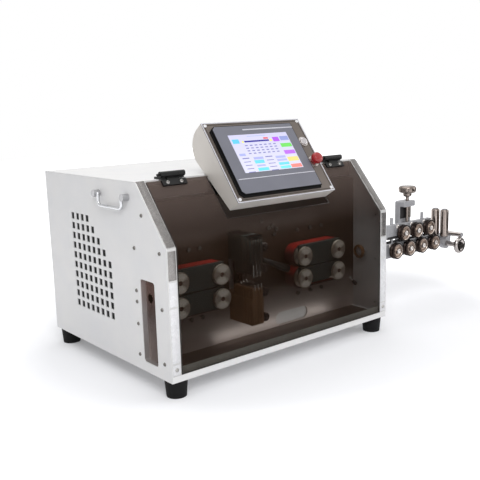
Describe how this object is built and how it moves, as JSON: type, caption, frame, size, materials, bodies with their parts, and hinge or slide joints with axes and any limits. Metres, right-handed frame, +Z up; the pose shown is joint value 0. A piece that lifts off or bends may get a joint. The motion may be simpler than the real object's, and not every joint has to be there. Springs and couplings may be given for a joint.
{
  "type": "wire cutting and stripping machine",
  "caption": "Bench machine that feeds, cuts and strips wire: white case, smoked hinged front cover, tilted touch display, belt feeds, blades and a wire straightener at the side.",
  "frame": {"origin": "middle of the whole machine's footprint on the floor under the feet", "axes": "+X from the wire outlet side to the straightener, +Y from the front cover to the rear, +Z up"},
  "size_m": [0.942, 0.463, 0.4782],
  "materials": {
    "case_paint": "fine matt powder coat",
    "frame_metal": "brushed",
    "plate_metal": "milled",
    "foot_rubber": "matt",
    "screw_steel": "bright",
    "housing_grey": "satin",
    "plate_dark": "satin with a fine engraved line",
    "bezel_grey": "fine grain, glossy screen area",
    "collar_metal": "satin",
    "hinge_black": "semi-gloss",
    "bracket_metal": "satin",
    "feed_dark": "satin",
    "belt_red": "matt",
    "motor_dark": "satin",
    "electronics": "mixed",
    "inlet_black": "fine grain",
    "straightener_metal": "machined",
    "cover_smoked": "polished, smoked brown",
    "handle_chrome": "polished",
    "button_metal": "satin",
    "stop_red": "glossy",
    "pulley_metal": "turned",
    "holder_black": "satin",
    "holder_brass": "milled, dull",
    "blade_steel": "ground",
    "tube_dark": "satin",
    "knob_chrome": "polished",
    "roller_bronze": "turned, dark rim"
  },
  "bodies": {
    "chassis": {"base_tray": "case_paint", "left_side_panel": "case_paint", "right_side_panel": "case_paint", "rear_panel": "case_paint", "top_cover": "case_paint", "side_frame_plates": "frame_metal", "main_plate": "plate_metal", "rubber_feet": "foot_rubber", "case_screws": "screw_steel", "display_housing": "housing_grey", "display_plate": "plate_dark", "touch_panel": "bezel_grey", "button_collars": "collar_metal", "roof_hinge_leaves": "hinge_black", "handle_brackets": "bracket_metal", "lower_feed_blocks": "feed_dark", "lower_feed_belts": "belt_red", "cutter_frame": "frame_metal", "stepper_motors": "motor_dark", "drive_electronics": "electronics", "power_inlet": "inlet_black", "straightener_base": "straightener_metal"},
    "cover": {"front_cover": "cover_smoked", "cover_hinge_leaves": "hinge_black"},
    "left_bail": {"left_handle": "handle_chrome"},
    "right_bail": {"right_handle": "handle_chrome"},
    "button": {"power_button": "button_metal"},
    "stop_button": {"emergency_stop": "stop_red"},
    "rocker": {"mains_switch": "inlet_black"},
    "left_carriage": {"left_upper_block": "feed_dark", "left_upper_belt": "belt_red"},
    "right_carriage": {"right_upper_block": "feed_dark", "right_upper_belt": "belt_red"},
    "screw": {"cutter_screw": "screw_steel"},
    "upper_cutter": {"upper_blade_holder": "holder_black", "upper_blades": "blade_steel"},
    "lower_cutter": {"lower_blade_holder": "holder_brass", "lower_blades": "blade_steel"},
    "tube": {"guide_tube": "tube_dark"},
    "slide": {"straightener_slide": "straightener_metal"},
    "knob": {"pressure_knob": "knob_chrome"},
    "front_upright": {"front_upright_roller": "knob_chrome"},
    "rear_upright": {"rear_upright_roller": "knob_chrome"},
    "support": {"support_roller": "knob_chrome"},
    "end_clamp": {"end_knob": "knob_chrome"},
    "left_lower_drive": {"left_lower_drive_pulley": "pulley_metal"},
    "left_lower_idler": {"left_lower_idler_pulley": "pulley_metal"},
    "left_upper_drive": {"left_upper_drive_pulley": "pulley_metal"},
    "left_upper_idler": {"left_upper_idler_pulley": "pulley_metal"},
    "right_lower_drive": {"right_lower_drive_pulley": "pulley_metal"},
    "right_lower_idler": {"right_lower_idler_pulley": "pulley_metal"},
    "right_upper_drive": {"right_upper_drive_pulley": "pulley_metal"},
    "right_upper_idler": {"right_upper_idler_pulley": "pulley_metal"},
    "lower_roller_1": {"lower_roller_1": "roller_bronze"},
    "lower_roller_2": {"lower_roller_2": "roller_bronze"},
    "lower_roller_3": {"lower_roller_3": "roller_bronze"},
    "lower_roller_4": {"lower_roller_4": "roller_bronze"},
    "upper_roller_1": {"upper_roller_1": "roller_bronze"},
    "upper_roller_2": {"upper_roller_2": "roller_bronze"},
    "upper_roller_3": {"upper_roller_3": "roller_bronze"}
  },
  "joints": [
    {"name": "cover_hinge", "type": "hinge", "parent": "chassis", "child": "cover", "pos_m": [-0.167, -0.1425, 0.3915], "axis": [-1, 0, 0], "range_deg": [0, 100]},
    {"name": "left_bail_hinge", "type": "hinge", "parent": "chassis", "child": "left_bail", "pos_m": [-0.465, -0.0615, 0.354], "axis": [0, 1, 0], "range_deg": [0, 90]},
    {"name": "right_bail_hinge", "type": "hinge", "parent": "chassis", "child": "right_bail", "pos_m": [0.131, -0.0615, 0.354], "axis": [0, -1, 0], "range_deg": [0, 90]},
    {"name": "power_button_press", "type": "slide", "parent": "chassis", "child": "button", "axis": [0, 0.8018, -0.5976], "range_m": [0, 0.0025], "stiffness_N_per_m": 600, "springref_m": -0.002},
    {"name": "emergency_stop_press", "type": "slide", "parent": "chassis", "child": "stop_button", "axis": [0, 0.8018, -0.5976], "range_m": [0, 0.004], "stiffness_N_per_m": 1500, "springref_m": -0.003},
    {"name": "mains_switch_rock", "type": "hinge", "parent": "chassis", "child": "rocker", "pos_m": [-0.011, 0.2255, 0.093], "axis": [-1, 0, 0], "range_deg": [0, 14]},
    {"name": "left_feed_lift", "type": "slide", "parent": "chassis", "child": "left_carriage", "axis": [0, 0, 1], "range_m": [0, 0.004]},
    {"name": "right_feed_lift", "type": "slide", "parent": "chassis", "child": "right_carriage", "axis": [0, 0, 1], "range_m": [0, 0.004]},
    {"name": "left_lower_drive_turn", "type": "hinge", "parent": "chassis", "child": "left_lower_drive", "pos_m": [-0.314, -0.1715, 0.1535], "axis": [0, 1, 0], "continuous": true},
    {"name": "left_lower_idler_turn", "type": "hinge", "parent": "chassis", "child": "left_lower_idler", "pos_m": [-0.409, -0.1715, 0.1535], "axis": [0, 1, 0], "continuous": true},
    {"name": "left_upper_drive_turn", "type": "hinge", "parent": "left_carriage", "child": "left_upper_drive", "pos_m": [-0.314, -0.1715, 0.2005], "axis": [0, 1, 0], "continuous": true},
    {"name": "left_upper_idler_turn", "type": "hinge", "parent": "left_carriage", "child": "left_upper_idler", "pos_m": [-0.409, -0.1715, 0.2005], "axis": [0, 1, 0], "continuous": true},
    {"name": "right_lower_drive_turn", "type": "hinge", "parent": "chassis", "child": "right_lower_drive", "pos_m": [-0.095, -0.1715, 0.1535], "axis": [0, 1, 0], "continuous": true},
    {"name": "right_lower_idler_turn", "type": "hinge", "parent": "chassis", "child": "right_lower_idler", "pos_m": [0.005, -0.1715, 0.1535], "axis": [0, 1, 0], "continuous": true},
    {"name": "right_upper_drive_turn", "type": "hinge", "parent": "right_carriage", "child": "right_upper_drive", "pos_m": [-0.095, -0.1715, 0.2005], "axis": [0, 1, 0], "continuous": true},
    {"name": "right_upper_idler_turn", "type": "hinge", "parent": "right_carriage", "child": "right_upper_idler", "pos_m": [0.005, -0.1715, 0.2005], "axis": [0, 1, 0], "continuous": true},
    {"name": "upper_cutter_slide", "type": "slide", "parent": "chassis", "child": "upper_cutter", "axis": [0, 0, -1], "range_m": [0, 0.008]},
    {"name": "lower_cutter_slide", "type": "slide", "parent": "chassis", "child": "lower_cutter", "axis": [0, 0, 1], "range_m": [0, 0.008]},
    {"name": "cutter_screw_turn", "type": "hinge", "parent": "chassis", "child": "screw", "pos_m": [-0.239, -0.1015, 0.177], "axis": [0, 0, 1], "range_deg": [0, 300]},
    {"name": "guide_tube_swing", "type": "hinge", "parent": "chassis", "child": "tube", "pos_m": [-0.127, -0.1715, 0.177], "axis": [0, -1, 0], "range_deg": [0, 24]},
    {"name": "straightener_press", "type": "slide", "parent": "chassis", "child": "slide", "axis": [0, 0, 1], "range_m": [-0.003, 0.008]},
    {"name": "pressure_knob_turn", "type": "hinge", "parent": "slide", "child": "knob", "pos_m": [0.293, -0.15725, 0.3], "axis": [0, 0, 1], "range_deg": [-864, 2304]},
    {"name": "lower_roller_1_turn", "type": "hinge", "parent": "chassis", "child": "lower_roller_1", "pos_m": [0.236, -0.1715, 0.157], "axis": [0, 1, 0], "continuous": true},
    {"name": "lower_roller_2_turn", "type": "hinge", "parent": "chassis", "child": "lower_roller_2", "pos_m": [0.2855, -0.1715, 0.157], "axis": [0, 1, 0], "continuous": true},
    {"name": "lower_roller_3_turn", "type": "hinge", "parent": "chassis", "child": "lower_roller_3", "pos_m": [0.335, -0.1715, 0.157], "axis": [0, 1, 0], "continuous": true},
    {"name": "lower_roller_4_turn", "type": "hinge", "parent": "chassis", "child": "lower_roller_4", "pos_m": [0.3845, -0.1715, 0.157], "axis": [0, 1, 0], "continuous": true},
    {"name": "upper_roller_1_turn", "type": "hinge", "parent": "slide", "child": "upper_roller_1", "pos_m": [0.2645, -0.1715, 0.197], "axis": [0, 1, 0], "continuous": true},
    {"name": "upper_roller_2_turn", "type": "hinge", "parent": "slide", "child": "upper_roller_2", "pos_m": [0.314, -0.1715, 0.197], "axis": [0, 1, 0], "continuous": true},
    {"name": "upper_roller_3_turn", "type": "hinge", "parent": "slide", "child": "upper_roller_3", "pos_m": [0.3635, -0.1715, 0.197], "axis": [0, 1, 0], "continuous": true},
    {"name": "front_upright_turn", "type": "hinge", "parent": "chassis", "child": "front_upright", "pos_m": [0.408, -0.185, 0.207], "axis": [0, 0, 1], "continuous": true},
    {"name": "rear_upright_turn", "type": "hinge", "parent": "chassis", "child": "rear_upright", "pos_m": [0.408, -0.158, 0.207], "axis": [0, 0, 1], "continuous": true},
    {"name": "support_roller_turn", "type": "hinge", "parent": "chassis", "child": "support", "pos_m": [0.452, -0.1815, 0.1703], "axis": [0, 1, 0], "continuous": true},
    {"name": "end_knob_turn", "type": "hinge", "parent": "chassis", "child": "end_clamp", "pos_m": [0.452, -0.1815, 0.1431], "axis": [0, 1, 0], "continuous": true}
  ],
  "couplings": [
    {"joint": "left_lower_idler_turn", "follows": "left_lower_drive_turn", "ratio": 1},
    {"joint": "left_upper_drive_turn", "follows": "left_lower_drive_turn", "ratio": -1},
    {"joint": "left_upper_idler_turn", "follows": "left_lower_drive_turn", "ratio": -1},
    {"joint": "right_lower_idler_turn", "follows": "right_lower_drive_turn", "ratio": 1},
    {"joint": "right_upper_drive_turn", "follows": "right_lower_drive_turn", "ratio": -1},
    {"joint": "right_upper_idler_turn", "follows": "right_lower_drive_turn", "ratio": -1},
    {"joint": "lower_cutter_slide", "follows": "upper_cutter_slide", "ratio": 1},
    {"joint": "cutter_screw_turn", "follows": "upper_cutter_slide", "rad_per_m": 628.32},
    {"joint": "pressure_knob_turn", "follows": "straightener_press", "rad_per_m": 5026.5}
  ]
}
